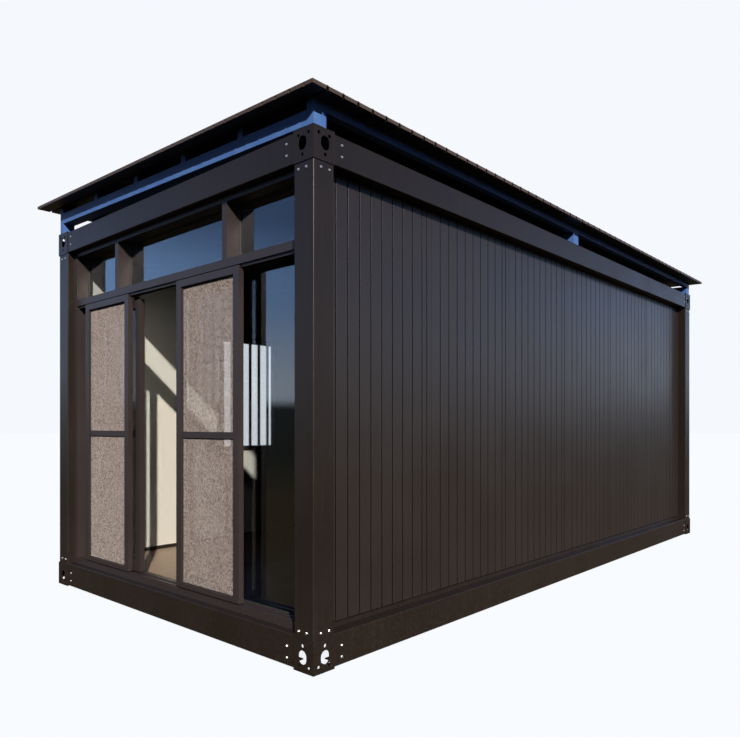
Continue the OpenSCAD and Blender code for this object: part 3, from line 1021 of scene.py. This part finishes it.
@dataclass
class WindowBars:
    """Upright flat bars across the left wall's window.

    Attributes:
        count: Number of bars.
        pitch: Distance between their centres.
        width: Face width of a bar.
        thickness: Thickness of a bar.
        set_in: Distance of the bars inside the window frame's outer face.
        rounding: Radius of a bar's edges.
    """

    count: int = 6
    pitch: float = 0.110
    width: float = 0.030
    thickness: float = 0.010
    set_in: float = 0.004
    rounding: float = 0.002

    def build(self, finishes: Finishes) -> None:
        """Stands the bars between the frame's sill and head."""
        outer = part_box("side_window_frame")[0].x + self.set_in
        low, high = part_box("side_window_glass")
        y = (low.y + high.y) / 2 + (np.arange(self.count) - (self.count - 1) / 2) * self.pitch
        ones = np.ones(self.count)
        arrays = boxes(
            np.stack([ones * outer, y - self.width / 2, ones * low.z], -1),
            np.stack([ones * (outer + self.thickness), y + self.width / 2, ones * high.z], -1))
        bars = piece("window_bars", arrays, finishes.by_slot[Slot.GLAZING_FRAME], "cabin")
        edges = bars.modifiers.new("edges", "BEVEL")
        edges.width = self.rounding
        edges.segments = 2


# ---------------------------------------------------------------- the studio


@dataclass
class Studio:
    """Floor, lights and camera.

    Attributes:
        pale: Colour of the floor and the backdrop.
        sun_travel: Direction in which the sun's light travels.
        sun_power: Strength of the sun.
        sun_bounces: Bounces after which the sun lights nothing more, enough to see past a pane.
        ambient: Share of the surroundings' light that lights matt surfaces.
        sky_steps: Heights of a direction and the surroundings' colour there, from the nadir up.
        eye: Place of the camera.
        turn: Heading of the camera, in degrees left of straight ahead.
        lens: Focal length, in millimetres on a 36 mm wide sensor.
        rise: Upward shift of the view.
        sensor: Width of the camera's sensor, in millimetres.
        floor_size: Side of the floor, in metres.
        floor_grey: How much lamplight the floor gives back, so that a shadow shows faintly.
        floor_glow: How much of the pale colour the floor gives off by itself.
        sun_colour: Colour of the sun's light.
        sun_spread: Width of the sun's disc, in degrees.
    """

    pale: Colour = srgb("f5f8fd")
    sun_travel: tuple[float, float, float] = (-1.45, 1.0, -0.9)
    sun_power: float = 10.0
    sun_bounces: int = 2
    ambient: float = 0.2
    sky_steps: tuple[tuple[float, Colour], ...] = (
        (-1.0, (0.07, 0.052, 0.034, 1.0)), (-0.45, (0.10, 0.078, 0.046, 1.0)),
        (-0.12, (0.10, 0.078, 0.046, 1.0)), (-0.04, (0.045, 0.052, 0.046, 1.0)),
        (0.022, (0.05, 0.060, 0.060, 1.0)), (0.042, (1.00, 1.18, 1.42, 1.0)),
        (0.20, (0.44, 0.76, 1.38, 1.0)), (0.30, (0.17, 0.31, 0.64, 1.0)),
        (0.80, (0.08, 0.16, 0.42, 1.0)))
    eye: tuple[float, float, float] = (3.9673, -5.3397, 1.2744)
    turn: float = 42.07
    lens: float = 32.49
    rise: float = 0.0758
    sensor: float = 36.0
    floor_size: float = 200.0
    floor_grey: float = 0.05
    floor_glow: float = 0.95
    sun_colour: tuple[float, float, float] = (1.0, 0.95, 0.87)
    sun_spread: float = 1.0

    def floor(self) -> None:
        """A plain pale floor that reflections, bounced light and rays through glass don't see."""
        bpy.ops.mesh.primitive_plane_add(size=self.floor_size)
        ground = bpy.context.object
        ground.name = "floor"
        ground.visible_glossy = False
        ground.visible_diffuse = False
        ground.visible_transmission = False
        material, _, shader, _ = new_material("floor_paper")
        shader.inputs["Base Color"].default_value = (self.floor_grey,) * 3 + (1.0,)
        shader.inputs["Roughness"].default_value = 1.0
        shader.inputs["Specular IOR Level"].default_value = 0.0
        shader.inputs["Emission Color"].default_value = self.pale
        shader.inputs["Emission Strength"].default_value = self.floor_glow
        ground.data.materials.append(material)

    def sky(self) -> None:
        """Pale behind the object, and for other rays a blue sky over brown ground."""
        world = bpy.data.worlds.new("surroundings")
        bpy.context.scene.world = world
        world.use_nodes = True
        world.node_tree.nodes.clear()
        g = Graph(world.node_tree)
        direction = g.node("ShaderNodeTexCoord").outputs["Generated"]
        up = g.node("ShaderNodeSeparateXYZ", {0: direction}).outputs["Z"]
        scenery = self.sky_steps[0][1]
        for (low, _), (high, colour) in zip(self.sky_steps, self.sky_steps[1:]):
            scenery = g.mix(g.smooth(up, low, high), scenery, colour)
        path = g.node("ShaderNodeLightPath").outputs
        bounced = g.math("ADD", path["Diffuse Depth"], path["Glossy Depth"])
        direct = g.math("LESS_THAN", bounced, 0.5)
        through = g.math("MULTIPLY", path["Is Transmission Ray"], direct)
        seen = g.math("MAXIMUM", path["Is Camera Ray"], through)
        dim = (self.ambient,) * 3 + (1.0,)
        after_matt = g.math("GREATER_THAN", path["Diffuse Depth"], 0.5)
        dimmed = g.mix(after_matt, (1.0, 1.0, 1.0, 1.0), dim)
        lit = g.node(
            "ShaderNodeMix", {0: 1.0, 6: scenery, 7: dimmed},
            data_type="RGBA", blend_type="MULTIPLY",
        ).outputs[2]
        shown = g.node("ShaderNodeBackground", {"Color": g.mix(seen, lit, self.pale)})
        output = g.node("ShaderNodeOutputWorld")
        g.feed(output.inputs["Surface"], shown.outputs[0])

    def sun(self) -> None:
        """One low sun, softened a little."""
        light = bpy.data.lights.new("sun", "SUN")
        light.energy = self.sun_power
        light.angle = math.radians(self.sun_spread)
        light.color = self.sun_colour
        light.cycles.max_bounces = self.sun_bounces
        lamp = bpy.data.objects.new("sun", light)
        lamp.rotation_mode = "QUATERNION"
        lamp.rotation_quaternion = Vector(self.sun_travel).to_track_quat("-Z", "Y")
        bpy.context.scene.collection.objects.link(lamp)

    def camera(self) -> None:
        """A level camera at the front right corner."""
        data = bpy.data.cameras.new("camera")
        data.lens = self.lens
        data.sensor_width = self.sensor
        data.sensor_fit = "HORIZONTAL"
        data.shift_y = self.rise
        data.clip_end = 500.0
        viewer = bpy.data.objects.new("camera", data)
        viewer.location = self.eye
        viewer.rotation_euler = (math.pi / 2, 0.0, math.radians(self.turn))
        bpy.context.scene.collection.objects.link(viewer)
        bpy.context.scene.camera = viewer

    def build(self) -> None:
        """Makes everything round the cabin."""
        bpy.context.scene.view_settings.view_transform = "Standard"
        self.camera()
        self.floor()
        self.sky()
        self.sun()


def main() -> None:
    """Builds the pieces in order."""
    logging.basicConfig(level=logging.INFO, format="%(name)s %(message)s")
    Studio().build()
    finishes = Finishes()
    finishes.build()
    finishes.dress()
    FrameBolts().build(finishes)
    RoofScrews().build(finishes)
    WindowBars().build(finishes)
    GlazingBeads().build(finishes)
    for side in ("left", "right"):
        FlyMesh(side).build(finishes)


if __name__ == "__main__":
    main()
